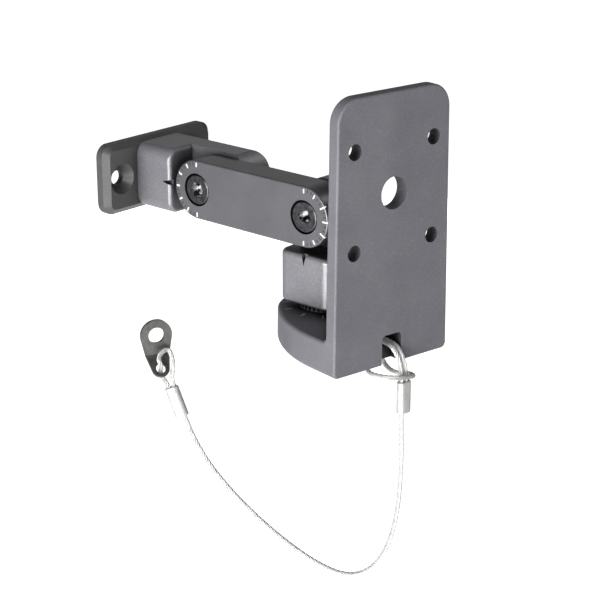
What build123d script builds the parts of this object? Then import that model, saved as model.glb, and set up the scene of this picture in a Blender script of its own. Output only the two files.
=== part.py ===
"""Speaker wall bracket: a wall plate, two toothed tilt joints with an arm between them, a toothed
swivel joint, and a speaker plate with a safety wire rope hitched to its shelf.

Frame: the origin is the centre of the wall plate's back face. The wall is the plane Y = 0, the
bracket stands out from it along -Y, +X is to the right for someone who faces the wall, +Z is up.
"""

import os
from math import atan, atan2, cos, degrees, radians, sin, sqrt, tan

from build123d import *

os.makedirs("parts", exist_ok=True)

# Wall plate
WALL_PLATE_WIDTH = 65.0
WALL_PLATE_HEIGHT = 31.0
WALL_PLATE_THICK = 6.0
WALL_PLATE_CORNER = 5.5
WALL_PLATE_BEVEL = 2.5
WALL_HOLE_SPACING = 46.5
WALL_HOLE_DIAMETER = 6.6
WALL_SINK_DIAMETER = 13.4
COUNTERSINK_ANGLE = 90.0

# Cast blocks: a square section that carries an ear beside the arm
BLOCK_SIZE = 28.5
BLOCK_CORNER = 5.0
BLOCK_END_GAP = 3.3           # from the round end of the arm to the short half of a block
BLOCK_END_FILLET = 1.8
FRONT_BASE_FILLET = 1.8
WALL_BLOCK_REACH = 36.0       # from the wall plate to the pivot
WALL_EAR_REACH = 17.1         # from the pivot to the far end of the ear
WALL_EAR_RADIUS = 17.1
FRONT_BLOCK_REACH = 38.2      # from the pivot down to the base of the block
FRONT_EAR_REACH = 13.3
FRONT_EAR_RADIUS = 14.25
POINTER_LENGTH = 4.6
POINTER_WIDTH = 2.4
POINTER_DEPTH = 2.0

# Arm
ARM_LENGTH = 60.0             # between the pivots
ARM_HEIGHT = 25.5
ARM_THICK = 13.5
ARM_EDGE = 0.7
COUNTERBORE_DIAMETER = 14.2
COUNTERBORE_DEPTH = 9.8
FACE_GAP = 0.5                # between the arm and an ear

# Cap screws, nuts and washers
SCREW_DIAMETER = 8.0
HEAD_DIAMETER = 13.0
HEAD_HEIGHT = 8.0
HEAD_EDGE = 0.6
SOCKET_SIZE = 6.0             # across the flats
SOCKET_DEPTH = 4.0
PIVOT_SCREW_LENGTH = 20.0
NUT_SIZE = 13.0
NUT_HEIGHT = 6.5
NUT_CLEARANCE = 0.2           # round a nut in its pocket
NUT_POCKET_DEPTH = 7.2
WASHER_DIAMETER = 13.0
WASHER_THICK = 1.4
RUNNING_CLEARANCE = 0.05      # round a shank, in every bore that turns on it
THREAD_CLEARANCE = 0.02       # round a thread, in every tapped hole and nut
SLIP_CLEARANCE = 0.2          # between a washer and the face that turns against it
HOLE_END = 1.0                # a blind hole beyond the end of its screw

# Countersunk screws that hold the wall block, from behind the wall plate
BLOCK_SCREW_DIAMETER = 6.0
BLOCK_SCREW_HEAD = 12.0
BLOCK_SCREW_LENGTH = 18.0
BLOCK_SCREW_SPACING = 15.0
BLOCK_SCREW_RECESS = 0.3
BLOCK_SCREW_SOCKET = 4.0
BLOCK_SCREW_SOCKET_DEPTH = 2.2
SINK_CLEARANCE = 0.1
BLOCK_SCREW_CLEARANCE = 0.2

# Toothed rings
TOOTH_COUNT = 36
TOOTH_SHARE = 0.86            # width of a tooth's foot in its pitch
TOOTH_ROOT = 0.1              # how far a tooth's foot is sunk in its ring
RING_MARGIN = 0.4             # bare ring beside the teeth
TILT_RING_INNER = 8.4
TILT_RING_OUTER = 12.0
TILT_TOOTH_HEIGHT = 1.0
PAN_RING_INNER = 7.6
PAN_RING_OUTER = 11.6
PAN_TOOTH_HEIGHT = 2.0
TIP_CLEARANCE = 0.2           # between the tips of two rings

# Speaker plate and its shelf, turned about the swivel axis
PAN_ANGLE = -10.0             # one tooth
PLATE_FRONT = 41.0            # from the swivel axis to the front face
PLATE_THICK = 6.0
PLATE_TOP = 56.5              # above the front pivot
PLATE_BOTTOM = 54.5           # below the front pivot
PLATE_TOP_WIDTH = 56.5
PLATE_BOTTOM_WIDTH = 59.5
PLATE_TOP_CORNER = 10.0
PLATE_EDGE = 0.9
SPEAKER_HOLE_SPACING = 40.0
SPEAKER_HOLE_DIAMETER = 6.5
SPEAKER_HOLE_HEIGHT = 15.6    # centre of the pattern above the front pivot
CABLE_HOLE_DIAMETER = 13.2
CABLE_HOLE_RISE = 0.8         # above the centre of the pattern
SHELF_DROP = 40.4             # from the front pivot down to the top of the shelf
SHELF_STRAIGHT = 25.0         # from the swivel axis out to where its sides begin to curve in
SHELF_TIP = 19.5              # from the swivel axis back to its tip
SHELF_TIP_RADIUS = 21.5
SHELF_RIM = 1.4               # rounding of its top edge and of the plate's back edge
SHELF_CORNER = 2.5            # rounding in the corner between it and the plate
SHELF_FOOT_EDGE = 2.5         # rounding of its lower edge
SHELF_ROOF = 4.8
SHELF_WALL = 4.0
NOTCH_WIDTH = 10.0
NOTCH_HEIGHT = 12.6
NOTCH_CORNER = 1.8
BAR_DEPTH = 5.5
BAR_HEIGHT = 6.0
BAR_EDGE = 1.4
BAR_WINDOW = 5.3              # over the bar
WINDOW_REACH = 9.0            # from the back of the plate

# Swivel screw, a low head cap screw from below
PAN_SCREW_LENGTH = 25.0
PAN_HEAD_HEIGHT = 5.0
PAN_SOCKET_SIZE = 5.0
PAN_SOCKET_DEPTH = 3.0

# Safety rope, its ferrules and its lug
ROPE_DIAMETER = 2.0
ROPE_CLEARANCE = 0.1
FERRULE_LENGTH = 13.6
FERRULE_WALL = 1.0
FERRULE_PITCH = 2.3           # between the two strands in a ferrule
FERRULE_CLEARANCE = 0.05
FERRULE_EDGE = 0.35
HITCH_REACH = 44.0            # from the swivel axis to the strands in front of the plate
HITCH_FERRULE_DROP = 75.8     # from the front pivot down to the lower end of the ferrule
HITCH_FERRULE_OFFSET = 4.35   # centre of the ferrule, from the middle of the plate
HANG_HEADING = 18.34          # degrees from straight back to the wall, towards -X
LUG_HOLE = (110.77, -58.7, 0.26)  # centre of the big hole, along the heading, up and off
LUG_TURN = 28.1               # degrees by which the lug's face is turned from the wall's
LUG_SWAY = 2.0                # degrees from upright, in its own face
LUG_BEND = 38.0               # degrees between its head and its tail
LUG_BEND_DROP = 8.5           # from the big hole to the bend
LUG_TAIL_DROP = 6.84          # from the bend to the small hole
LUG_HOLE_DIAMETER = 7.0
LUG_TAIL_HOLE = 4.2
LUG_HEAD_RADIUS = 6.9
LUG_TAIL_RADIUS = 3.8
LUG_THICK = 1.5
LUG_FERRULE = (101.5, -87.5)  # centre of the ferrule below the lug
LUG_FERRULE_LEAN = 21.5       # degrees from upright

# Worked out from the sizes above
WALL_PIVOT_Y = -(WALL_PLATE_THICK + WALL_BLOCK_REACH)
FRONT_PIVOT_Y = WALL_PIVOT_Y - ARM_LENGTH
ARM_FACE_X = -BLOCK_SIZE / 2
ARM_BACK_X = ARM_FACE_X + ARM_THICK
EAR_FACE_X = ARM_BACK_X + FACE_GAP
EAR_BACK_X = BLOCK_SIZE / 2
BLOCK_END = ARM_HEIGHT / 2 + BLOCK_END_GAP
SHANK_START_X = ARM_FACE_X + COUNTERBORE_DEPTH - SLIP_CLEARANCE - WASHER_THICK
TILT_POCKET = TILT_TOOTH_HEIGHT - (FACE_GAP - TIP_CLEARANCE) / 2
PAN_POCKET = 2 * PAN_TOOTH_HEIGHT + TIP_CLEARANCE - (SHELF_DROP - FRONT_BLOCK_REACH)
PLATE_HALF_TAPER = (PLATE_BOTTOM_WIDTH - PLATE_TOP_WIDTH) / 2
PLATE_LEAN = degrees(atan(PLATE_HALF_TAPER / (PLATE_TOP + PLATE_BOTTOM)))
PAN_SHANK_START_Z = -SHELF_DROP - SHELF_ROOF - SLIP_CLEARANCE - WASHER_THICK
PITCH = 360.0 / TOOTH_COUNT
PLATE_BACK = PLATE_FRONT - PLATE_THICK
BORE_RADIUS = SCREW_DIAMETER / 2 + RUNNING_CLEARANCE
ROPE_RADIUS = ROPE_DIAMETER / 2

# Planes: the swivelled frame of the speaker plate, its front face, and the rope's hanging plane
SIDEWAYS = (cos(radians(PAN_ANGLE)), sin(radians(PAN_ANGLE)), 0)
OUTWARD = (sin(radians(PAN_ANGLE)), -cos(radians(PAN_ANGLE)), 0)
HEADING = (-sin(radians(HANG_HEADING)), cos(radians(HANG_HEADING)), 0)
swivel = Plane(origin=(0, FRONT_PIVOT_Y, 0), x_dir=SIDEWAYS, z_dir=(0, 0, 1))
plate_face = Plane(origin=swivel.from_local_coords((0, -PLATE_FRONT, 0)), x_dir=SIDEWAYS, z_dir=OUTWARD)
span_start = swivel.from_local_coords(
    (HITCH_FERRULE_OFFSET - FERRULE_PITCH / 2, -HITCH_REACH, -HITCH_FERRULE_DROP))
hanging = Plane(origin=(span_start.X, span_start.Y, 0), x_dir=HEADING, z_dir=(HEADING[1], -HEADING[0], 0))
wall_back = Plane(origin=(0, 0, 0), x_dir=(-1, 0, 0), z_dir=(0, 1, 0))


def save(piece, name):
    """Label a finished piece and write it under its own name."""
    piece.part.label = name
    export_step(piece.part, f"parts/{name}.step")


def radial_tooth(inner, outer, height):
    """One tooth of a face ring, along +X from the ring's centre, standing up from the XY plane."""
    with BuildPart() as tooth:
        for radius in (inner, outer):
            half = radius * tan(radians(PITCH * TOOTH_SHARE / 2))
            section = Plane(origin=(radius, 0, -TOOTH_ROOT), x_dir=(0, 1, 0), z_dir=(1, 0, 0))
            with BuildSketch(section):
                with BuildLine():
                    Polyline((-half, 0), (half, 0), (0, height + TOOTH_ROOT), close=True)
                make_face()
        loft(ruled=True)
    return tooth.part


tilt_tooth = radial_tooth(TILT_RING_INNER, TILT_RING_OUTER, TILT_TOOTH_HEIGHT)
pan_tooth = radial_tooth(PAN_RING_INNER, PAN_RING_OUTER, PAN_TOOTH_HEIGHT)


def cast_block(base, reach, ear_reach, ear_radius):
    """A square casting that rises from its base plane, with an ear, a toothed ring sunk in the ear's
    inner face, a bore, a nut pocket and a pointer notch."""
    pivot = base.from_local_coords((0, 0, reach))
    ear_face = Plane(origin=(EAR_FACE_X, pivot.Y, pivot.Z), x_dir=base.z_dir, z_dir=(-1, 0, 0))
    ear_back = Plane(origin=(EAR_BACK_X, pivot.Y, pivot.Z), x_dir=base.z_dir, z_dir=(1, 0, 0))
    side = Plane(origin=base.origin, x_dir=base.z_dir, z_dir=base.x_dir)
    short_end = reach - BLOCK_END
    with BuildPart() as block:
        with BuildSketch(base):
            RectangleRounded(BLOCK_SIZE, BLOCK_SIZE, BLOCK_CORNER)
        extrude(amount=reach + ear_reach)
        with BuildSketch(side):
            straight = reach + ear_reach - ear_radius
            with Locations((straight / 2, 0)):
                Rectangle(straight, 1.2 * BLOCK_SIZE)
            with Locations((straight, 0)):
                Circle(ear_radius)
        extrude(amount=BLOCK_SIZE, both=True, mode=Mode.INTERSECT)
        with BuildSketch(base.offset(short_end)):
            with Locations((EAR_FACE_X - BLOCK_SIZE / 2, 0)):
                Rectangle(BLOCK_SIZE, 1.2 * BLOCK_SIZE)
        extrude(amount=BLOCK_END + 1.2 * ear_reach, mode=Mode.SUBTRACT)
        end_face = block.faces().filter_by(Axis(base.origin, base.z_dir)).sort_by(Axis(base.origin, base.z_dir))[-1]
        end_edges = end_face.edges().filter_by_position(Axis.X, -BLOCK_SIZE, EAR_FACE_X - FACE_GAP)
        fillet(end_edges, BLOCK_END_FILLET)
        with BuildSketch(Plane(origin=(ARM_FACE_X, base.origin.Y, base.origin.Z),
                               x_dir=base.z_dir, z_dir=(-1, 0, 0))):
            with BuildLine():
                Polyline((short_end, -POINTER_WIDTH / 2), (short_end, POINTER_WIDTH / 2),
                         (short_end - POINTER_LENGTH, 0), close=True)
            make_face()
        extrude(amount=-POINTER_DEPTH, mode=Mode.SUBTRACT)
        with BuildSketch(ear_face):
            Circle(TILT_RING_OUTER + RING_MARGIN)
            Circle(TILT_RING_INNER - RING_MARGIN, mode=Mode.SUBTRACT)
        extrude(amount=-TILT_POCKET, mode=Mode.SUBTRACT)
        with Locations(ear_face.offset(-TILT_POCKET)):
            with PolarLocations(0, TOOTH_COUNT, start_angle=PITCH / 2):
                add(tilt_tooth)
        with Locations(ear_back):
            Hole(BORE_RADIUS, depth=EAR_BACK_X - EAR_FACE_X)
        with BuildSketch(ear_back):
            RegularPolygon(NUT_SIZE / 2 + NUT_CLEARANCE, 6, major_radius=False)
        extrude(amount=-NUT_POCKET_DEPTH, mode=Mode.SUBTRACT)
    return block.part


def cap_screw(seat, head_height, length, socket_size, socket_depth):
    """A cap screw whose head rises from the seat plane and whose shank goes down from it."""
    with BuildPart() as screw:
        with BuildSketch(seat):
            Circle(HEAD_DIAMETER / 2)
        extrude(amount=head_height)
        fillet(screw.edges().sort_by(Axis(seat.origin, seat.z_dir))[-1], HEAD_EDGE)
        with BuildSketch(seat):
            Circle(SCREW_DIAMETER / 2)
        extrude(amount=-length)
        chamfer(screw.edges().sort_by(Axis(seat.origin, seat.z_dir))[0], HEAD_EDGE)
        with BuildSketch(seat.offset(head_height)):
            RegularPolygon(socket_size / 2, 6, major_radius=False)
        extrude(amount=-socket_depth, mode=Mode.SUBTRACT)
    return screw


def washer(seat):
    """A flat washer that rises from the seat plane."""
    with BuildPart() as ring:
        with BuildSketch(seat):
            Circle(WASHER_DIAMETER / 2)
            Circle(BORE_RADIUS, mode=Mode.SUBTRACT)
        extrude(amount=WASHER_THICK)
    return ring


def hex_nut(seat):
    """A nut that rises from the seat plane, with chamfered corners."""
    with BuildPart() as nut:
        with BuildSketch(seat):
            RegularPolygon(NUT_SIZE / 2, 6, major_radius=False)
        extrude(amount=NUT_HEIGHT)
        with BuildSketch(seat.offset(NUT_HEIGHT / 2)):
            Circle(NUT_SIZE / 2 * 1.06)
        extrude(amount=NUT_HEIGHT, both=True, mode=Mode.INTERSECT)
        with Locations(seat):
            Hole(SCREW_DIAMETER / 2 + THREAD_CLEARANCE)
    return nut


def countersunk_screw(height):
    """A countersunk screw along +Y at the given height, its head sunk in the wall plate's back."""
    head_drop = (BLOCK_SCREW_HEAD - BLOCK_SCREW_DIAMETER) / 2 / tan(radians(COUNTERSINK_ANGLE / 2))
    with BuildPart() as screw:
        with BuildSketch(Plane(origin=(0, -BLOCK_SCREW_RECESS, height), z_dir=(0, 0, 1))):
            with BuildLine():
                Polyline((0, 0), (BLOCK_SCREW_HEAD / 2, 0), (BLOCK_SCREW_DIAMETER / 2, -head_drop),
                         (BLOCK_SCREW_DIAMETER / 2, -BLOCK_SCREW_LENGTH), (0, -BLOCK_SCREW_LENGTH),
                         close=True)
            make_face()
        revolve(axis=Axis((0, 0, height), (0, 1, 0)))
        with BuildSketch(Plane(origin=(0, -BLOCK_SCREW_RECESS, height), z_dir=(0, 1, 0))):
            RegularPolygon(BLOCK_SCREW_SOCKET / 2, 6, major_radius=False)
        extrude(amount=-BLOCK_SCREW_SOCKET_DEPTH, mode=Mode.SUBTRACT)
    return screw


# Wall plate: bevelled front, two countersunk wall holes, two sinks at the back for the block
with BuildPart() as wall_plate:
    with BuildSketch(Plane.XZ):
        RectangleRounded(WALL_PLATE_WIDTH, WALL_PLATE_HEIGHT, WALL_PLATE_CORNER)
    extrude(amount=WALL_PLATE_THICK)
    chamfer(wall_plate.faces().sort_by(Axis.Y)[0].edges(), WALL_PLATE_BEVEL)
    with Locations(Plane.XZ.offset(WALL_PLATE_THICK)):
        with GridLocations(WALL_HOLE_SPACING, 0, 2, 1):
            CounterSinkHole(WALL_HOLE_DIAMETER / 2, WALL_SINK_DIAMETER / 2,
                            counter_sink_angle=COUNTERSINK_ANGLE)
    with Locations(wall_back):
        with GridLocations(0, BLOCK_SCREW_SPACING, 1, 2):
            CounterSinkHole(BLOCK_SCREW_DIAMETER / 2 + BLOCK_SCREW_CLEARANCE,
                            BLOCK_SCREW_HEAD / 2 + BLOCK_SCREW_RECESS + SINK_CLEARANCE,
                            counter_sink_angle=COUNTERSINK_ANGLE)
save(wall_plate, "wall_plate")

# Wall block, with two blind tapped holes in its base
wall_base = Plane.XZ.offset(WALL_PLATE_THICK)
wall_blank = cast_block(wall_base, WALL_BLOCK_REACH, WALL_EAR_REACH, WALL_EAR_RADIUS)
with BuildPart() as wall_block:
    add(wall_blank)
    with BuildSketch(wall_base):
        with GridLocations(0, BLOCK_SCREW_SPACING, 1, 2):
            Circle(BLOCK_SCREW_DIAMETER / 2 + THREAD_CLEARANCE)
    extrude(amount=BLOCK_SCREW_LENGTH - WALL_PLATE_THICK + HOLE_END, mode=Mode.SUBTRACT)
save(wall_block, "wall_block")

save(countersunk_screw(BLOCK_SCREW_SPACING / 2), "wall_block_screw_upper")
save(countersunk_screw(-BLOCK_SCREW_SPACING / 2), "wall_block_screw_lower")

# Arm: a flat bar with round ends, a counterbore at each pivot and a toothed ring behind it
with BuildPart() as arm:
    with BuildSketch(Plane.YZ.offset(ARM_FACE_X)):
        with Locations(((WALL_PIVOT_Y + FRONT_PIVOT_Y) / 2, 0)):
            SlotCenterToCenter(ARM_LENGTH, ARM_HEIGHT)
    extrude(amount=ARM_THICK)
    fillet(arm.faces().filter_by(Axis.X).edges(), ARM_EDGE)
    for pivot_y in (WALL_PIVOT_Y, FRONT_PIVOT_Y):
        arm_back = Plane(origin=(ARM_BACK_X, pivot_y, 0), x_dir=(0, 1, 0), z_dir=(1, 0, 0))
        with Locations(Plane(origin=(ARM_FACE_X, pivot_y, 0), x_dir=(0, 1, 0), z_dir=(-1, 0, 0))):
            CounterBoreHole(BORE_RADIUS, COUNTERBORE_DIAMETER / 2, COUNTERBORE_DEPTH)
        with BuildSketch(arm_back):
            Circle(TILT_RING_OUTER + RING_MARGIN)
            Circle(TILT_RING_INNER - RING_MARGIN, mode=Mode.SUBTRACT)
        extrude(amount=-TILT_POCKET, mode=Mode.SUBTRACT)
        with Locations(arm_back.offset(-TILT_POCKET)):
            with PolarLocations(0, TOOTH_COUNT):
                add(tilt_tooth)
save(arm, "arm")

# Front block, with the upper ring of the swivel joint under its base
front_base = Plane(origin=(0, FRONT_PIVOT_Y, -FRONT_BLOCK_REACH), x_dir=(1, 0, 0), z_dir=(0, 0, 1))
front_under = Plane(origin=front_base.origin, x_dir=(1, 0, 0), z_dir=(0, 0, -1))
front_blank = cast_block(front_base, FRONT_BLOCK_REACH, FRONT_EAR_REACH, FRONT_EAR_RADIUS)
with BuildPart() as front_block:
    add(front_blank)
    fillet(front_block.faces().sort_by(Axis.Z)[0].edges(), FRONT_BASE_FILLET)
    with BuildSketch(front_under):
        Circle(PAN_RING_OUTER + RING_MARGIN)
        Circle(PAN_RING_INNER - RING_MARGIN, mode=Mode.SUBTRACT)
    extrude(amount=-PAN_POCKET, mode=Mode.SUBTRACT)
    with Locations(front_under.offset(-PAN_POCKET)):
        with PolarLocations(0, TOOTH_COUNT, start_angle=PITCH / 2):
            add(pan_tooth)
    with BuildSketch(front_base):
        Circle(SCREW_DIAMETER / 2 + THREAD_CLEARANCE)
    extrude(amount=PAN_SHANK_START_Z + PAN_SCREW_LENGTH + FRONT_BLOCK_REACH + HOLE_END,
            mode=Mode.SUBTRACT)
save(front_block, "front_block")

# Pivot screws, their washers and their nuts
for pivot_y, place, base in ((WALL_PIVOT_Y, "wall", wall_base), (FRONT_PIVOT_Y, "front", front_base)):
    under_head = Plane(origin=(SHANK_START_X, pivot_y, 0), x_dir=(0, 1, 0), z_dir=(-1, 0, 0))
    washer_seat = Plane(origin=(SHANK_START_X, pivot_y, 0), x_dir=(0, 1, 0), z_dir=(1, 0, 0))
    nut_seat = Plane(origin=(EAR_BACK_X - NUT_POCKET_DEPTH, pivot_y, 0), x_dir=base.z_dir, z_dir=(1, 0, 0))
    save(cap_screw(under_head, HEAD_HEIGHT, PIVOT_SCREW_LENGTH, SOCKET_SIZE, SOCKET_DEPTH),
         f"{place}_pivot_screw")
    save(washer(washer_seat), f"{place}_pivot_washer")
    save(hex_nut(nut_seat), f"{place}_pivot_nut")

# Swivel screw and its washer, under the shelf's roof
pan_head = Plane(origin=(0, FRONT_PIVOT_Y, PAN_SHANK_START_Z), x_dir=(1, 0, 0), z_dir=(0, 0, -1))
pan_washer_seat = Plane(origin=(0, FRONT_PIVOT_Y, PAN_SHANK_START_Z), x_dir=(1, 0, 0), z_dir=(0, 0, 1))
save(cap_screw(pan_head, PAN_HEAD_HEIGHT, PAN_SCREW_LENGTH, PAN_SOCKET_SIZE, PAN_SOCKET_DEPTH), "pan_screw")
save(washer(pan_washer_seat), "pan_washer")


def shelf_outline(seat, front, wall):
    """Outline of the shelf, or of its hollow inside a wall: straight sides that curve in to a round tip."""
    half, tip, tip_radius = PLATE_BOTTOM_WIDTH / 2 - wall, SHELF_TIP - wall, SHELF_TIP_RADIUS - wall
    run = SHELF_STRAIGHT + tip - tip_radius
    side_radius = (half ** 2 + run ** 2 - tip_radius ** 2) / (2 * (half - tip_radius))
    turn = degrees(atan2(run, side_radius - half))
    with BuildSketch(seat) as outline:
        with BuildLine():
            Line((-half, -front), (half, -front))
            Line((half, -front), (half, -SHELF_STRAIGHT))
            CenterArc((half - side_radius, -SHELF_STRAIGHT), side_radius, 0, turn)
            CenterArc((0, tip - tip_radius), tip_radius, turn, 180 - 2 * turn)
            CenterArc((side_radius - half, -SHELF_STRAIGHT), side_radius, 180 - turn, turn)
            Line((-half, -SHELF_STRAIGHT), (-half, -front))
        make_face()
    return outline.sketch


# Speaker plate: a flat plate and a hollow shelf behind it in one casting
bar_top = BAR_HEIGHT - PLATE_BOTTOM
shelf_base = shelf_outline(swivel.offset(-PLATE_BOTTOM), PLATE_BACK + PLATE_THICK / 2, 0)
shelf_hollow = shelf_outline(swivel.offset(-SHELF_DROP - SHELF_ROOF), PLATE_BACK - BAR_DEPTH, SHELF_WALL)
with BuildPart() as speaker_plate:
    with BuildSketch(plate_face) as plate_outline:
        with BuildLine():
            Polyline((-PLATE_BOTTOM_WIDTH / 2, -PLATE_BOTTOM), (PLATE_BOTTOM_WIDTH / 2, -PLATE_BOTTOM),
                     (PLATE_TOP_WIDTH / 2, PLATE_TOP), (-PLATE_TOP_WIDTH / 2, PLATE_TOP), close=True)
        make_face()
        fillet(plate_outline.vertices().group_by(Axis.Y)[-1], PLATE_TOP_CORNER)
    extrude(amount=-PLATE_THICK)
    extrude(shelf_base, amount=PLATE_BOTTOM - SHELF_DROP, taper=PLATE_LEAN)
    shelf_edges = speaker_plate.edges().filter_by_position(Axis.Z, -SHELF_DROP - 0.01, -SHELF_DROP + 0.01)
    fillet(shelf_edges.filter_by(Axis((0, 0, 0), SIDEWAYS)), SHELF_CORNER)
    foot_edges = speaker_plate.edges().filter_by_position(Axis.Z, -PLATE_BOTTOM - 0.01, -PLATE_BOTTOM + 0.01)
    fillet(foot_edges.filter_by(Axis((0, 0, 0), SIDEWAYS), reverse=True), SHELF_FOOT_EDGE)
    fillet(speaker_plate.faces().sort_by(Axis((0, 0, 0), OUTWARD))[-1].edges(), PLATE_EDGE)
    rim_edges = speaker_plate.edges().filter_by_position(Axis.Z, -SHELF_DROP - 0.01, -SHELF_DROP + 0.01)
    fillet(rim_edges.filter_by(Axis((0, 0, 0), SIDEWAYS), reverse=True), SHELF_RIM)
    add(shelf_hollow)
    extrude(amount=-PLATE_BOTTOM, mode=Mode.SUBTRACT)
    with Locations(swivel.offset(-SHELF_DROP)):
        with PolarLocations(0, TOOTH_COUNT):
            add(pan_tooth)
    with Locations(swivel.offset(-SHELF_DROP)):
        Hole(BORE_RADIUS, depth=SHELF_ROOF)
    with BuildSketch(plate_face):
        with Locations((0, SPEAKER_HOLE_HEIGHT)):
            with GridLocations(SPEAKER_HOLE_SPACING, SPEAKER_HOLE_SPACING, 2, 2):
                Circle(SPEAKER_HOLE_DIAMETER / 2)
        with Locations((0, SPEAKER_HOLE_HEIGHT + CABLE_HOLE_RISE)):
            Circle(CABLE_HOLE_DIAMETER / 2)
    extrude(amount=-PLATE_THICK, mode=Mode.SUBTRACT)
    with BuildSketch(plate_face) as notch:
        with Locations((0, NOTCH_HEIGHT / 2 - PLATE_BOTTOM)):
            Rectangle(NOTCH_WIDTH, NOTCH_HEIGHT)
        fillet(notch.vertices().group_by(Axis.Y)[-1], NOTCH_CORNER)
    extrude(amount=-PLATE_THICK, mode=Mode.SUBTRACT)
    with BuildSketch(plate_face.offset(-PLATE_THICK)):
        with Locations((0, bar_top + BAR_WINDOW / 2)):
            Rectangle(NOTCH_WIDTH, BAR_WINDOW)
    extrude(amount=-WINDOW_REACH, mode=Mode.SUBTRACT)
    bar_edges = speaker_plate.edges().filter_by_position(Axis.Z, bar_top - 0.01, bar_top + 0.01)
    fillet(bar_edges.filter_by(Axis((0, 0, 0), SIDEWAYS)), BAR_EDGE)
save(speaker_plate, "speaker_plate")


def ferrule(seat):
    """A double barrel that rises from the seat plane, its two strands side by side along its X."""
    with BuildPart() as sleeve:
        with BuildSketch(seat):
            with GridLocations(FERRULE_PITCH, 0, 2, 1):
                Circle(ROPE_RADIUS + FERRULE_WALL)
            make_hull()
        extrude(amount=FERRULE_LENGTH)
        chamfer(sleeve.edges().group_by(Axis(seat.origin, seat.z_dir))[0], FERRULE_EDGE)
        chamfer(sleeve.edges().group_by(Axis(seat.origin, seat.z_dir))[-1], FERRULE_EDGE)
        with BuildSketch(seat):
            with GridLocations(FERRULE_PITCH, 0, 2, 1):
                Circle(ROPE_RADIUS + FERRULE_CLEARANCE)
        extrude(amount=FERRULE_LENGTH, mode=Mode.SUBTRACT)
    return sleeve


def rope_tube(points, name, tight=()):
    """A tube of straight runs and tangent arcs through the points, each arc as large as its runs
    allow, or as tight as the thing that it goes round."""
    route = [Vector(*point) for point in points]
    radii = []
    for before, at, after in zip(route, route[1:], route[2:]):
        half_turn = radians((at - before).get_angle(after - at) / 2)
        radii.append(0.45 * min((at - before).length, (after - at).length) / tan(half_turn))
    for corner, radius in tight:
        radii[corner - 1] = min(radii[corner - 1], radius)
    with BuildPart() as tube:
        with BuildLine() as path:
            FilletPolyline(*route, radius=radii)
        with BuildSketch(Plane(origin=path.line @ 0, z_dir=path.line % 0)):
            Circle(ROPE_RADIUS)
        sweep()
    length = path.wire().length
    share = tube.part.volume / (length * ROPE_RADIUS ** 2 * 3.14159265)
    print(name, "length", round(length, 1), "volume share", round(share, 4),
          "radii", [round(radius, 1) for radius in radii])
    return tube


# Ferrule under the plate and ferrule under the lug
speaker_ferrule_seat = Plane(
    origin=swivel.from_local_coords((HITCH_FERRULE_OFFSET, -HITCH_REACH, -HITCH_FERRULE_DROP)),
    x_dir=SIDEWAYS, z_dir=(0, 0, 1))
lean = radians(LUG_FERRULE_LEAN)
lug_ferrule_foot = (LUG_FERRULE[0] - FERRULE_LENGTH / 2 * sin(lean),
                    LUG_FERRULE[1] - FERRULE_LENGTH / 2 * cos(lean))
lug_ferrule_seat = Plane(
    origin=hanging.from_local_coords((*lug_ferrule_foot, 0)),
    x_dir=hanging.from_local_coords((cos(lean), -sin(lean), 0)) - hanging.origin,
    z_dir=hanging.from_local_coords((sin(lean), cos(lean), 0)) - hanging.origin)
save(ferrule(speaker_ferrule_seat), "ferrule_speaker")
save(ferrule(lug_ferrule_seat), "ferrule_lug")

# Lug: a drop of sheet, bent across, with a big hole for its hook and a small one for the rope
lug_front = Vector(-sin(radians(LUG_TURN)), -cos(radians(LUG_TURN)), 0)
lug_level = Vector(cos(radians(LUG_TURN)), -sin(radians(LUG_TURN)), 0)
lug_up = Vector(0, 0, 1) * cos(radians(LUG_SWAY)) - lug_level * sin(radians(LUG_SWAY))
lug_head = Plane(origin=hanging.from_local_coords(LUG_HOLE), x_dir=lug_up.cross(lug_front), z_dir=lug_front)
lug_bend = lug_head.from_local_coords((0, -LUG_BEND_DROP, 0))
tail_front = lug_front * cos(radians(LUG_BEND)) + lug_up * sin(radians(LUG_BEND))
lug_tail = Plane(origin=lug_bend, x_dir=lug_head.x_dir, z_dir=tail_front)
lug_slope = (LUG_HEAD_RADIUS - LUG_TAIL_RADIUS) / (LUG_BEND_DROP + LUG_TAIL_DROP)
bend_half = (LUG_HEAD_RADIUS - LUG_BEND_DROP * lug_slope) / sqrt(1 - lug_slope ** 2)


def lug_flat(seat, side):
    """One flat of the lug, from the bend line to one side of it."""
    with BuildPart() as flat:
        with BuildSketch(seat):
            with Locations((0, LUG_BEND_DROP)):
                Circle(LUG_HEAD_RADIUS)
            with Locations((0, -LUG_TAIL_DROP)):
                Circle(LUG_TAIL_RADIUS)
            make_hull()
            with Locations((0, side * LUG_HEAD_RADIUS * 2)):
                Rectangle(LUG_HEAD_RADIUS * 4, LUG_HEAD_RADIUS * 4, mode=Mode.INTERSECT)
        extrude(amount=LUG_THICK / 2, both=True)
    return flat.part


head_flat = lug_flat(Plane(origin=lug_bend, x_dir=lug_head.x_dir, z_dir=lug_front), 1)
tail_flat = lug_flat(lug_tail, -1)
with BuildPart() as lug:
    add(head_flat)
    add(tail_flat)
    with BuildSketch(Plane(origin=lug_bend, z_dir=lug_head.x_dir)):
        Circle(LUG_THICK / 2)
    extrude(amount=bend_half, both=True)
    with BuildSketch(lug_head):
        Circle(LUG_HOLE_DIAMETER / 2)
    extrude(amount=LUG_THICK, both=True, mode=Mode.SUBTRACT)
    with BuildSketch(lug_tail):
        with Locations((0, -LUG_TAIL_DROP)):
            Circle(LUG_TAIL_HOLE / 2)
    extrude(amount=LUG_THICK, both=True, mode=Mode.SUBTRACT)
save(lug, "lug")

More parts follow.
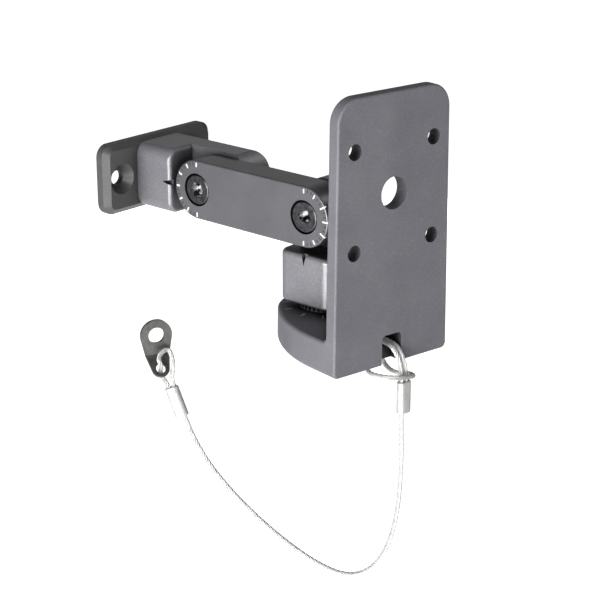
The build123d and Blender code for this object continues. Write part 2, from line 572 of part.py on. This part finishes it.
# Hitch: up from the ferrule, over the bar, down behind it, round both strands, and back the same way.
# Each point is sideways, out from the swivel axis, and up.
bar_turn = BAR_EDGE + ROPE_RADIUS + ROPE_CLEARANCE
over_bar = bar_top + ROPE_RADIUS + 2.5 * ROPE_CLEARANCE
behind_bar = PLATE_BACK - BAR_DEPTH - ROPE_RADIUS - 2 * ROPE_CLEARANCE
dead_strand = HITCH_FERRULE_OFFSET + FERRULE_PITCH / 2
live_strand = HITCH_FERRULE_OFFSET - FERRULE_PITCH / 2
hitch_points = [
    (dead_strand, HITCH_REACH, -HITCH_FERRULE_DROP),
    (dead_strand, HITCH_REACH, -60.6),
    (4.2, 43.9, -53.6),
    (3.65, 41.9, -49.3),
    (3.55, 38.6, over_bar),
    (3.55, behind_bar, over_bar),
    (5.3, behind_bar, -55.6),
    (5.9, 30.2, -59.2),
    (4.3, 34.6, -59.6),
    (3.4, 39.2, -59.6),
    (5.0, 41.6, -59.9),
    (8.0, 41.9, -60.3),
    (9.0, 44.2, -60.5),
    (7.4, 46.4, -60.2),
    (3.4, 46.5, -59.6),
    (-0.9, 46.3, -58.9),
    (-4.4, 43.4, -58.7),
    (-6.2, 38.4, -58.9),
    (-5.6, 33.2, -59.2),
    (-2.0, 29.3, -58.6),
    (0.6, behind_bar, -55.0),
    (1.25, behind_bar, over_bar),
    (1.25, 38.6, over_bar),
    (1.35, 41.9, -49.3),
    (2.0, 43.9, -53.6),
    (live_strand, HITCH_REACH, -60.6),
    (live_strand, HITCH_REACH, -HITCH_FERRULE_DROP),
]
hitch_route = [swivel.from_local_coords((across, -out, up)) for across, out, up in hitch_points]
save(rope_tube(hitch_route, "rope_hitch", tight=((5, bar_turn), (21, bar_turn))), "rope_hitch")

# Span: it hangs in one upright plane. Each point is along the heading and up.
live_foot = (lug_ferrule_foot[0] - FERRULE_PITCH / 2 * cos(lean),
             lug_ferrule_foot[1] + FERRULE_PITCH / 2 * sin(lean))
span_points = [
    (0, -HITCH_FERRULE_DROP),
    (-0.6, -97.0),
    (0.3, -117.0),
    (3.6, -134.2),
    (9.6, -146.6),
    (18.6, -153.6),
    (29.0, -153.9),
    (42.5, -148.9),
    (58.2, -139.6),
    (73.8, -127.6),
    (86.8, -114.4),
    (live_foot[0] - 9.0 * sin(lean), live_foot[1] - 9.0 * cos(lean)),
    live_foot,
]
span_route = [hanging.from_local_coords((along, up, 0)) for along, up in span_points]
save(rope_tube(span_route, "rope_span"), "rope_span")

# Eye: from the ferrule up beside the lug, down to its small hole, through it and back to the ferrule.
# Each point is along the heading, up, and off the hanging plane.
live_top = (live_foot[0] + FERRULE_LENGTH * sin(lean), live_foot[1] + FERRULE_LENGTH * cos(lean))
dead_foot = (live_foot[0] + FERRULE_PITCH * cos(lean), live_foot[1] - FERRULE_PITCH * sin(lean))
dead_top = (dead_foot[0] + FERRULE_LENGTH * sin(lean), dead_foot[1] + FERRULE_LENGTH * cos(lean))
eye_points = [
    (*live_foot, 0),
    (live_top[0] + 3.0 * sin(lean), live_top[1] + 3.0 * cos(lean), 0),
    (103.06, -73.28, 0.38),
    (103.42, -68.24, 0.79),
    (105.29, -64.49, 1.22),
    (106.9, -64.85, -0.76),
    (108.12, -67.1, -3.2),
    (107.0, -69.1, -4.2),
    (106.76, -71.44, -3.31),
    (108.39, -74.13, -1.46),
    (107.34, -76.53, -2.01),
    (dead_top[0] + 2.0 * sin(lean), dead_top[1] + 2.0 * cos(lean), 0),
    (*dead_foot, 0),
]
eye_route = [hanging.from_local_coords(point) for point in eye_points]
save(rope_tube(eye_route, "rope_eye"), "rope_eye")
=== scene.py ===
"""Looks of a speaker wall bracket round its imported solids: powder coat, painted scales, wire rope."""

import math

import bmesh
import bpy
from mathutils import Matrix, Vector


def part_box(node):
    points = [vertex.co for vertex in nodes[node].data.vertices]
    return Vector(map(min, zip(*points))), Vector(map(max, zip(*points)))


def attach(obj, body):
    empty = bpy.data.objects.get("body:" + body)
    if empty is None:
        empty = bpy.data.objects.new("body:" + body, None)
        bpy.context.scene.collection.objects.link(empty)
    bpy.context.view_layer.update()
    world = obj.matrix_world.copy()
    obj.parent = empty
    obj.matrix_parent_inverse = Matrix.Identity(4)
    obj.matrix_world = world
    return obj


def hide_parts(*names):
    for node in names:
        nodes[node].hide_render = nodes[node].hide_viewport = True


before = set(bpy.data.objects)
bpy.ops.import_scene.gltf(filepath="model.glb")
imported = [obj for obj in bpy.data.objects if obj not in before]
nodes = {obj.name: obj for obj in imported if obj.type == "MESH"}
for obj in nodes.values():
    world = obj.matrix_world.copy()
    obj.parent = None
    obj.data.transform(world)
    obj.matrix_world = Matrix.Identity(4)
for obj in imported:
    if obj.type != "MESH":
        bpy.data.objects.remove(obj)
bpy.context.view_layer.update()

MM = 0.001

# Sizes that the pieces here share with the solids, in millimetres
ARM_FACE = -14.25
ARM_HALF = 12.75
ARM_EDGE = 0.7
WALL_PIVOT = -42.0
FRONT_PIVOT = -102.0
SHELF_TOP = -40.4
PAN_ANGLE = math.radians(-10)
HANG_HEADING = math.radians(18.34)

# The screws' hexagon sockets: their corners' reach, and how far below the head's face the wear starts
SOCKET_REACH = 3.6
WEAR_START = 0.1

# Ticks: where they start and end from the pivot, and their width, in millimetres
PAINT_LIFT = 0.03
MAJOR = (10.0, 11.8, 0.55)
MINOR = (10.6, 12.0, 0.42)
SHELF_TICK = (15.3, 18.6, 0.45)

# How far the front end's ticks run down the arm's rim, by their angle
OVER_RIM = {0: 2.2, 30: 0.5, -30: 0.5}

# Wire rope, in metres
ROPE_DIAMETER = 2.0 * MM
STRANDS = 6
STRAND_LAY = 13 * MM
LINE_STEP = 0.6 * MM

# The camera stands where the photograph's did
CAMERA_PLACE = (-0.52199, -0.54793, 0.20536)
CAMERA_LINE = (0.70653, 0.62319, -0.33533)
FIELD_OF_VIEW = math.radians(19.336)

camera_data = bpy.data.cameras.new("camera")
camera = bpy.data.objects.new("camera", camera_data)
bpy.context.scene.collection.objects.link(camera)
bpy.context.scene.camera = camera
camera_data.sensor_width = 36
camera_data.angle = FIELD_OF_VIEW
camera_data.clip_start = 0.01
camera.location = CAMERA_PLACE
camera.rotation_mode = "QUATERNION"
camera.rotation_quaternion = Vector(CAMERA_LINE).to_track_quat("-Z", "Y")


# Materials

def shader(name, **settings):
    """A new material with its shader, whose sockets are set by name with _ for a space."""
    material = bpy.data.materials.new(name)
    material.use_nodes = True
    tree = material.node_tree
    surface = tree.nodes["Principled BSDF"]
    for socket, value in settings.items():
        surface.inputs[socket.replace("_", " ")].default_value = value
    return material, tree, surface


def object_place(tree):
    """The Object coordinates that every pattern here reads."""
    return tree.nodes.new("ShaderNodeTexCoord").outputs["Object"]


def feed(tree, socket, value):
    """Set a node's socket to a number, or link another node's output to it."""
    if isinstance(value, (int, float)):
        socket.default_value = value
    else:
        tree.links.new(value, socket)


def noise(tree, place, scale, detail=2.0, roughness=0.5):
    """A factor that varies with a noise pattern, finer for a larger scale."""
    texture = tree.nodes.new("ShaderNodeTexNoise")
    texture.inputs["Scale"].default_value = scale
    texture.inputs["Detail"].default_value = detail
    texture.inputs["Roughness"].default_value = roughness
    tree.links.new(place, texture.inputs["Vector"])
    return texture.outputs["Fac"]


def ramp(tree, factor, *stops):
    """A colour ramp on a factor. Each stop is a position and a colour."""
    node = tree.nodes.new("ShaderNodeValToRGB")
    while len(node.color_ramp.elements) < len(stops):
        node.color_ramp.elements.new(0.5)
    for element, (position, colour) in zip(node.color_ramp.elements, stops):
        element.position = position
        element.color = (*colour, 1)
    tree.links.new(factor, node.inputs["Fac"])
    return node.outputs["Color"]


def spread(tree, factor, low, high, start=0.0, end=1.0):
    """A factor's stretch from start to end spread over low to high."""
    node = tree.nodes.new("ShaderNodeMapRange")
    node.inputs["From Min"].default_value = start
    node.inputs["From Max"].default_value = end
    node.inputs["To Min"].default_value = low
    node.inputs["To Max"].default_value = high
    tree.links.new(factor, node.inputs["Value"])
    return node.outputs["Result"]


def blend(tree, mode, factor, first, second):
    """Two colours put together in one of the Mix node's modes."""
    node = tree.nodes.new("ShaderNodeMix")
    node.data_type = "RGBA"
    node.blend_type = mode
    feed(tree, node.inputs["Factor"], factor)
    tree.links.new(first, node.inputs["A"])
    tree.links.new(second, node.inputs["B"])
    return node.outputs["Result"]


def reckon(tree, operation, *values):
    """The result of one Math node on numbers or other nodes' outputs."""
    node = tree.nodes.new("ShaderNodeMath")
    node.operation = operation
    for socket, value in zip(node.inputs, values):
        feed(tree, socket, value)
    return node.outputs["Value"]


def coordinates(tree, place):
    """A node whose outputs X, Y and Z are a place's coordinates."""
    node = tree.nodes.new("ShaderNodeSeparateXYZ")
    tree.links.new(place, node.inputs["Vector"])
    return node.outputs


def bump(tree, surface, *layers):
    """Bumps one on another. Each layer is a height, a depth in metres and a strength."""
    below = None
    for height, depth, strength in layers:
        node = tree.nodes.new("ShaderNodeBump")
        node.inputs["Distance"].default_value = depth
        node.inputs["Strength"].default_value = strength
        tree.links.new(height, node.inputs["Height"])
        if below is not None:
            tree.links.new(below, node.inputs["Normal"])
        below = node.outputs["Normal"]
    tree.links.new(below, surface.inputs["Normal"])


def painted_corner_shade(tree, colour):
    """A colour darkened by painted shade in corners, gaps and recesses, which an ambient occlusion node
    finds.
    """
    corner = tree.nodes.new("ShaderNodeAmbientOcclusion")
    corner.samples = 8
    corner.inputs["Distance"].default_value = 14 * MM
    shade = ramp(tree, corner.outputs["AO"], (0.3, (0.02, 0.02, 0.02)), (0.92, (1, 1, 1)))
    return blend(tree, "MULTIPLY", 1, colour, shade)


def powder_coat(name, dark, light, sparkle, rough_low, rough_high, depth, metallic, gloss):
    """Grey powder coat: fine grain with bright flecks in it, shallow waves, faint clouds of darker tone,
    and painted shade in corners and gaps.
    """
    material, tree, surface = shader(name, Metallic=metallic, Specular_IOR_Level=gloss)
    place = object_place(tree)
    grain = noise(tree, place, 1500, 3.0, 0.65)
    waves = noise(tree, place, 300, 2.0)
    clouds = noise(tree, place, 60, 3.0)
    base = ramp(tree, clouds, (0.3, dark), (0.7, light))
    flecks = ramp(tree, grain, (0.5, (0, 0, 0)), (0.72, sparkle))
    colour = blend(tree, "ADD", 1, base, flecks)
    # The base colour goes darker in corners and gaps: painted shade.
    tree.links.new(painted_corner_shade(tree, colour), surface.inputs["Base Color"])
    tree.links.new(spread(tree, grain, rough_low, rough_high), surface.inputs["Roughness"])
    bump(tree, surface, (waves, 2 * depth, 0.4), (grain, depth, 0.7))
    return material


def metal(name, dark, light, rough_low, rough_high, scale, depth, metallic=1.0):
    """Bare or plated metal, with fine scratches of shade and of gloss."""
    material, tree, surface = shader(name, Metallic=metallic)
    place = object_place(tree)
    stains = noise(tree, place, scale, 4.0, 0.65)
    grain = noise(tree, place, 9 * scale, 2.0)
    tree.links.new(ramp(tree, stains, (0.35, dark), (0.7, light)), surface.inputs["Base Color"])
    tree.links.new(spread(tree, stains, rough_low, rough_high), surface.inputs["Roughness"])
    bump(tree, surface, (grain, depth, 0.5))
    return material


OXIDE_DARK = (0.050, 0.050, 0.055)
OXIDE_LIGHT = (0.125, 0.125, 0.133)


def socket_screw(name, node):
    """Black oxide that the key has worn to bright steel inside the hexagon socket."""
    head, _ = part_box(node)
    pivot = WALL_PIVOT if node == "wall_pivot_screw" else FRONT_PIVOT
    material, tree, surface = shader(name, Metallic=1.0)
    place = object_place(tree)
    stains = noise(tree, place, 500, 4.0, 0.65)
    oxide = ramp(tree, stains, (0.35, OXIDE_DARK), (0.7, OXIDE_LIGHT))
    wear = noise(tree, place, 330, 1.0)
    steel = ramp(tree, wear, (0.47, (0.012, 0.012, 0.014)), (0.56, (0.62, 0.62, 0.63)))
    along = coordinates(tree, place)
    across = tree.nodes.new("ShaderNodeCombineXYZ")
    tree.links.new(along["Y"], across.inputs["Y"])
    tree.links.new(along["Z"], across.inputs["Z"])
    reach = tree.nodes.new("ShaderNodeVectorMath")
    reach.operation = "DISTANCE"
    reach.inputs[1].default_value = (0, pivot * MM, 0)
    tree.links.new(across.outputs["Vector"], reach.inputs[0])
    inside = reckon(tree, "LESS_THAN", reach.outputs["Value"], SOCKET_REACH * MM)
    below = reckon(tree, "GREATER_THAN", along["X"], head[0] + WEAR_START * MM)
    colour = blend(tree, "MIX", reckon(tree, "MULTIPLY", inside, below), oxide, steel)
    tree.links.new(colour, surface.inputs["Base Color"])
    tree.links.new(spread(tree, stains, 0.30, 0.48), surface.inputs["Roughness"])
    bump(tree, surface, (noise(tree, place, 3000, 2.0), 0.00003, 0.5))
    return material


def scale_paint(name, thin, full):
    """Matt paint that thins out in specks."""
    material, tree, surface = shader(name, Roughness=0.5)
    speckle = noise(tree, object_place(tree), 1800, 2.0)
    tree.links.new(ramp(tree, speckle, (0.25, thin), (0.5, full)), surface.inputs["Base Color"])
    bump(tree, surface, (speckle, 0.00003, 0.5))
    return material


block_coat = powder_coat("block_coat", (0.110, 0.108, 0.119), (0.140, 0.137, 0.150),
                         (0.07, 0.069, 0.072), 0.27, 0.42, 0.00007, metallic=0.15, gloss=0.9)
plate_coat = powder_coat("plate_coat", (0.107, 0.104, 0.117), (0.125, 0.122, 0.135),
                         (0.04, 0.04, 0.042), 0.42, 0.58, 0.00003, metallic=0.1, gloss=0.2)
arm_coat = powder_coat("arm_coat", (0.128, 0.126, 0.137), (0.150, 0.148, 0.159),
                       (0.02, 0.02, 0.022), 0.34, 0.44, 0.000012, metallic=0.7, gloss=0.6)
wall_plate_coat = powder_coat("wall_plate_coat", (0.050, 0.052, 0.050), (0.064, 0.066, 0.064),
                              (0.02, 0.02, 0.02), 0.36, 0.48, 0.000015, metallic=0.1, gloss=0.35)
black_oxide = metal("black_oxide", OXIDE_DARK, OXIDE_LIGHT, 0.32, 0.50, 500, 0.00003)
zinc_plate = metal("zinc_plate", (0.52, 0.52, 0.54), (0.66, 0.67, 0.69), 0.25, 0.40, 140, 0.00001)
bright_wire = metal("bright_wire", (0.36, 0.36, 0.355), (0.50, 0.50, 0.49), 0.26, 0.40, 400, 0.000005,
                    metallic=0.35)
soft_aluminium = metal("soft_aluminium", (0.33, 0.33, 0.32), (0.45, 0.45, 0.44), 0.24, 0.36, 160, 0.00001,
                       metallic=0.3)
lug_steel = metal("lug_steel", (0.085, 0.085, 0.082), (0.20, 0.20, 0.19), 0.26, 0.38, 120, 0.00002,
                  metallic=0.8)
white_paint = scale_paint("white_paint", (0.72, 0.72, 0.72), (0.90, 0.90, 0.89))
worn_paint = scale_paint("worn_paint", (0.24, 0.24, 0.25), (0.42, 0.42, 0.43))
# Near-black painted shade for the fine scored ticks: it stands for the shade inside their grooves, which
# the flat strips don't cut.
painted_groove_shade = scale_paint("painted_groove_shade", (0.006, 0.006, 0.007), (0.020, 0.020, 0.022))

finishes = {
    block_coat: ("wall_block", "front_block"),
    plate_coat: ("speaker_plate",),
    arm_coat: ("arm",),
    wall_plate_coat: ("wall_plate",),
    black_oxide: ("wall_pivot_washer", "front_pivot_washer", "pan_screw", "pan_washer"),
    socket_screw("wall_screw_finish", "wall_pivot_screw"): ("wall_pivot_screw",),
    socket_screw("front_screw_finish", "front_pivot_screw"): ("front_pivot_screw",),
    zinc_plate: ("wall_block_screw_upper", "wall_block_screw_lower", "wall_pivot_nut", "front_pivot_nut"),
    soft_aluminium: ("ferrule_speaker", "ferrule_lug"),
    lug_steel: ("lug",),
}
for finish, names in finishes.items():
    for name in names:
        nodes[name].data.materials.clear()
        nodes[name].data.materials.append(finish)


# Pieces

def piece(name, mesh, body, material):
    """A finished mesh as a piece that rides on a body."""
    mesh.name = name
    mesh.materials.clear()
    mesh.materials.append(material)
    made = bpy.data.objects.new(name, mesh)
    bpy.context.scene.collection.objects.link(made)
    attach(made, body)
    return made


def on_swivel(across, out, up):
    """A point of the swivelled frame, in metres: sideways, out from the swivel axis, and up."""
    cosine, sine = math.cos(PAN_ANGLE), math.sin(PAN_ANGLE)
    return Vector((across * cosine + out * sine, FRONT_PIVOT + across * sine - out * cosine, up)) * MM


def tick(scale, angle, inner, outer, width, rim=0.0):
    """Add one tick to a scale that lies on Z = 0 round the origin. A tick with a rim length runs on
    over the arm's rounded edge and down its rim."""
    foot = bmesh.ops.create_grid(scale, x_segments=1, y_segments=1, size=0.5)["verts"]
    reach = ARM_HALF - ARM_EDGE if rim else outer
    bmesh.ops.scale(scale, verts=foot, vec=(reach - inner, width, 1))
    bmesh.ops.translate(scale, verts=foot, vec=((reach + inner) / 2, 0, PAINT_LIFT))
    made = list(foot)
    if rim:
        ends = [v for v in foot if v.co.x > reach - 1e-4]
        edge = [e for e in ends[0].link_edges if e.other_vert(ends[0]) in ends]
        turned = bmesh.ops.spin(scale, geom=ends + edge, cent=(reach, 0, -ARM_EDGE), axis=(0, 1, 0),
                                angle=math.radians(90), steps=6)["geom_last"]
        made = list({v for f in scale.faces for v in f.verts if not v.tag})
        down = bmesh.ops.extrude_edge_only(
            scale, edges=[item for item in turned if isinstance(item, bmesh.types.BMEdge)])["geom"]
        tips = [item for item in down if isinstance(item, bmesh.types.BMVert)]
        bmesh.ops.translate(scale, verts=tips, vec=(0, 0, -rim))
        made += tips
    bmesh.ops.rotate(scale, verts=made, cent=(0, 0, 0), matrix=Matrix.Rotation(math.radians(angle), 3, "Z"))
    for v in made:
        v.tag = True


def painted_scale(name, body, place, ticks, material):
    """A scale of ticks. place turns its own frame, in millimetres, into the object's."""
    scale = bmesh.new()
    for angle, inner, outer, width, rim in ticks:
        tick(scale, angle, inner, outer, width, rim)
    bmesh.ops.remove_doubles(scale, verts=scale.verts, dist=1e-4)
    bmesh.ops.recalc_face_normals(scale, faces=scale.faces)
    bmesh.ops.transform(scale, matrix=Matrix.Scale(MM, 4) @ place, verts=scale.verts)
    mesh = bpy.data.meshes.new(name)
    scale.to_mesh(mesh)
    scale.free()
    return piece(name, mesh, body, material)


def arm_place(pivot):
    """The frame of a scale on the arm's face: out from the face, and angles from -Y towards +Z."""
    return Matrix.Translation((ARM_FACE, pivot, 0)) @ Matrix(
        ((0, 0, -1, 0), (-1, 0, 0, 0), (0, 1, 0, 0), (0, 0, 0, 1)))


for end, pivot, majors in (("wall", WALL_PIVOT, (90, 120, 150, 180, 210, 240, 270)),
                           ("front", FRONT_PIVOT, (90, 60, 30, 0, -30, -60, -90))):
    rims = OVER_RIM if end == "front" else {}
    # The minor ticks take the near-black painted groove shade.
    minors = [angle for angle in range(min(majors), max(majors), 10) if angle not in majors]
    painted_scale(f"{end}_scale", "arm", arm_place(pivot),
                  [(angle, *MAJOR, rims.get(angle, 0)) for angle in majors], white_paint)
    painted_scale(f"{end}_fine_scale", "arm", arm_place(pivot), [(angle, *MINOR, 0) for angle in minors],
                  painted_groove_shade)
painted_scale("pan_scale", "speaker", Matrix.Translation((0, FRONT_PIVOT, SHELF_TOP)),
              [(angle, *SHELF_TICK, 0) for angle in (125, 155.5, 186.5, 216)], worn_paint)


# Rope: one length of stranded wire from its dead end in one ferrule to its dead end in the other

def rope_line(points):
    """Points close together on the smooth line that the route's points control."""
    curve = bpy.data.curves.new("route", "CURVE")
    curve.dimensions = "3D"
    curve.resolution_u = 12
    spline = curve.splines.new("NURBS")
    spline.points.add(len(points) - 1)
    for spot, place in zip(spline.points, points):
        spot.co = (*place, 1)
    spline.order_u = 3
    spline.use_endpoint_u = True
    holder = bpy.data.objects.new("route", curve)
    bpy.context.scene.collection.objects.link(holder)
    bpy.context.view_layer.update()
    line = bpy.data.meshes.new_from_object(holder)
    found = [vertex.co.copy() for vertex in line.vertices]
    bpy.data.objects.remove(holder)
    bpy.data.meshes.remove(line)
    return found


def even_line(points, step):
    """The same line with its points a step apart."""
    even, left = [points[0]], step
    for here, there in zip(points, points[1:]):
        run = (there - here).length
        while left <= run:
            even.append(here.lerp(there, left / run))
            left += step
        left -= run
    if (points[-1] - even[-1]).length > 0.3 * step:
        even.append(points[-1])
    return even


def rope_mesh(line, diameter, strands, lay):
    """Strands laid round a core along a line."""
    strand = diameter / 2 / (1 + 1 / math.sin(math.pi / strands))
    ring = diameter / 2 - strand
    curve = bpy.data.curves.new("strands", "CURVE")
    curve.dimensions = "3D"
    curve.bevel_depth = strand
    curve.bevel_resolution = 2
    curve.use_fill_caps = True
    heading = (line[1] - line[0]).normalized()
    side = heading.orthogonal().normalized()
    frames, travelled = [], 0.0
    for index, spot in enumerate(line):
        ahead = line[min(index + 1, len(line) - 1)] - line[max(index - 1, 0)]
        turn = heading.rotation_difference(ahead.normalized())
        heading = ahead.normalized()
        side = (turn @ side).normalized()
        if index:
            travelled += (spot - line[index - 1]).length
        frames.append((spot, side, heading.cross(side), travelled))
    for number in range(strands + 1):
        spline = curve.splines.new("POLY")
        spline.points.add(len(line) - 1)
        for target, (spot, first, second, travelled) in zip(spline.points, frames):
            angle = 2 * math.pi * (number / strands + travelled / lay)
            offset = ring * (math.cos(angle) * first + math.sin(angle) * second)
            target.co = (*(spot + offset if number < strands else spot), 1)
    holder = bpy.data.objects.new("strands", curve)
    bpy.context.scene.collection.objects.link(holder)
    bpy.context.view_layer.update()
    mesh = bpy.data.meshes.new_from_object(holder)
    bpy.data.objects.remove(holder)
    for polygon in mesh.polygons:
        polygon.use_smooth = True
    return mesh


# The hitch round the bar, in the swivelled frame: sideways, out and up
FERRULE_LENGTH = 13.6
FERRULE_PITCH = 2.3
FERRULE_OUT = 44.0
DEAD_STRAND = 4.35 + FERRULE_PITCH / 2
LIVE_STRAND = 4.35 - FERRULE_PITCH / 2
OVER_BAR = -47.25
BEHIND_BAR = 28.3
hitch_points = [
    (DEAD_STRAND, FERRULE_OUT, -75.8), (DEAD_STRAND, FERRULE_OUT, -60.6), (4.2, 43.9, -53.6),
    (3.65, 41.9, -49.3), (3.55, 38.6, OVER_BAR), (3.55, BEHIND_BAR, OVER_BAR), (5.3, BEHIND_BAR, -55.6),
    (5.9, 30.2, -59.2), (4.3, 34.6, -59.6), (3.4, 39.2, -59.6), (5.0, 41.6, -59.9), (8.0, 41.9, -60.3),
    (9.0, 44.2, -60.5), (7.4, 46.4, -60.2), (3.4, 46.5, -59.6), (-0.9, 46.3, -58.9),
    (-4.4, 43.4, -58.7), (-6.2, 38.4, -58.9), (-5.6, 33.2, -59.2), (-2.0, 29.3, -58.6),
    (0.6, BEHIND_BAR, -55.0), (1.25, BEHIND_BAR, OVER_BAR), (1.25, 38.6, OVER_BAR), (1.35, 41.9, -49.3),
    (2.0, 43.9, -53.6), (LIVE_STRAND, FERRULE_OUT, -60.6), (LIVE_STRAND, FERRULE_OUT, -75.8),
]

# The hanging part, in its upright plane: along, up, and off the plane
span_start = on_swivel(LIVE_STRAND, FERRULE_OUT, 0)
plane_heading = Vector((-math.sin(HANG_HEADING), math.cos(HANG_HEADING), 0))
off_plane = Vector((plane_heading.y, -plane_heading.x, 0))


def hanging(along, up, off=0.0):
    """A point of the upright plane that the rope hangs in, in metres."""
    return span_start + (along * plane_heading + off * off_plane + up * Vector((0, 0, 1))) * MM


LUG_LEAN = math.radians(21.5)
LUG_FERRULE = (101.5, -87.5)
lean_along, lean_up = math.sin(LUG_LEAN), math.cos(LUG_LEAN)
half_length, half_pitch = FERRULE_LENGTH / 2, FERRULE_PITCH / 2
ferrule_foot = (LUG_FERRULE[0] - half_length * lean_along, LUG_FERRULE[1] - half_length * lean_up)
live_foot = (ferrule_foot[0] - half_pitch * lean_up, ferrule_foot[1] + half_pitch * lean_along)
dead_foot = (ferrule_foot[0] + half_pitch * lean_up, ferrule_foot[1] - half_pitch * lean_along)


def up_ferrule(foot, distance):
    """A point in line with one of the lug ferrule's strands, at a distance from its foot."""
    return foot[0] + distance * lean_along, foot[1] + distance * lean_up


span_points = [
    (-0.6, -97.0), (0.3, -117.0), (3.6, -134.2), (9.6, -146.6), (18.6, -153.6), (29.0, -153.9),
    (42.5, -148.9), (58.2, -139.6), (73.8, -127.6), (86.8, -114.4), up_ferrule(live_foot, -9.0),
]
eye_points = [
    (*up_ferrule(live_foot, FERRULE_LENGTH + 3.0), 0.0), (103.06, -73.28, 0.38), (103.42, -68.24, 0.79),
    (105.29, -64.49, 1.22), (106.9, -64.85, -0.76), (108.12, -67.1, -3.2), (107.0, -69.1, -4.2),
    (106.76, -71.44, -3.31), (108.39, -74.13, -1.46), (107.34, -76.53, -2.01),
    (*up_ferrule(dead_foot, FERRULE_LENGTH + 2.0), 0.0), (*dead_foot, 0.0),
]
route = [on_swivel(*point) for point in hitch_points]
route += [hanging(*point) for point in (*span_points, live_foot, *eye_points)]
line = even_line(rope_line(route), LINE_STEP)
rope = piece("safety_rope", rope_mesh(line, ROPE_DIAMETER, STRANDS, STRAND_LAY), "speaker", bright_wire)
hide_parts("rope_hitch", "rope_span", "rope_eye")


# Floor, surroundings and light

FLOOR_LEVEL = -0.55
FLOOR_HALF = 12
# The floor shines white in a wedge that starts below the photograph's camera and fades out at its sides.
# All round the object it would be mirrored in the wire and the ferrules.
WEDGE_FOOT = (-0.52, -0.55, 0)
WEDGE_HEADING = math.radians(41.4)
WEDGE_SLOPE = 0.21
FADE_SLOPE = 0.26


def shining_floor():
    """Pale floor that shines white in the wedge and weakly outside it."""
    material, tree, surface = shader("pale_floor", Base_Color=(0.8, 0.8, 0.8, 1), Roughness=1.0,
                                     Emission_Color=(1, 1, 1, 1))
    wedge = tree.nodes.new("ShaderNodeMapping")
    wedge.vector_type = "TEXTURE"
    wedge.inputs["Location"].default_value = WEDGE_FOOT
    wedge.inputs["Rotation"].default_value = (0, 0, WEDGE_HEADING)
    tree.links.new(object_place(tree), wedge.inputs["Vector"])
    along = coordinates(tree, wedge.outputs["Vector"])
    slope = reckon(tree, "ABSOLUTE", reckon(tree, "DIVIDE", along["Y"], along["X"]))
    shine = spread(tree, slope, 1.0, 0.22, WEDGE_SLOPE, FADE_SLOPE)
    tree.links.new(shine, surface.inputs["Emission Strength"])
    return material


floor_mesh = bpy.data.meshes.new("floor")
plane = bmesh.new()
bmesh.ops.create_grid(plane, x_segments=1, y_segments=1, size=FLOOR_HALF)
bmesh.ops.translate(plane, verts=plane.verts, vec=(0, 0, FLOOR_LEVEL))
plane.to_mesh(floor_mesh)
plane.free()
floor_mesh.materials.append(shining_floor())
floor = bpy.data.objects.new("floor", floor_mesh)
bpy.context.scene.collection.objects.link(floor)

world = bpy.data.worlds.new("surroundings")
bpy.context.scene.world = world
world.use_nodes = True
world.node_tree.nodes["Background"].inputs["Color"].default_value = (1, 1, 1, 1)
world.node_tree.nodes["Background"].inputs["Strength"].default_value = 0.07
bpy.context.scene.view_settings.view_transform = "Standard"

MIDDLE = Vector((0, -0.07, -0.03))


def soft_light(name, place, width, height, power):
    """A soft box that looks at the bracket's middle."""
    data = bpy.data.lights.new(name, "AREA")
    data.shape = "RECTANGLE"
    data.size = width
    data.size_y = height
    data.energy = power
    lamp = bpy.data.objects.new(name, data)
    bpy.context.scene.collection.objects.link(lamp)
    lamp.location = place
    lamp.rotation_mode = "QUATERNION"
    lamp.rotation_quaternion = (MIDDLE - Vector(place)).to_track_quat("-Z", "Y")


soft_light("key_box", (-1.58, -0.25, -0.08), 0.8, 0.8, 41)
soft_light("front_box", (-0.17, -1.66, 0.02), 0.5, 0.7, 1)
soft_light("edge_box", (-0.98, -1.10, 0.42), 0.20, 0.20, 11)
soft_light("low_box", (-0.80, -0.85, -0.45), 0.20, 0.20, 4)
soft_light("rear_top_box", (1.40, 1.15, 0.71), 1.6, 0.5, 1.5)
soft_light("right_top_box", (1.15, -0.58, 0.93), 0.3, 0.3, 1.5)
soft_light("behind_box", (1.35, 1.20, -0.60), 1.0, 0.8, 6)
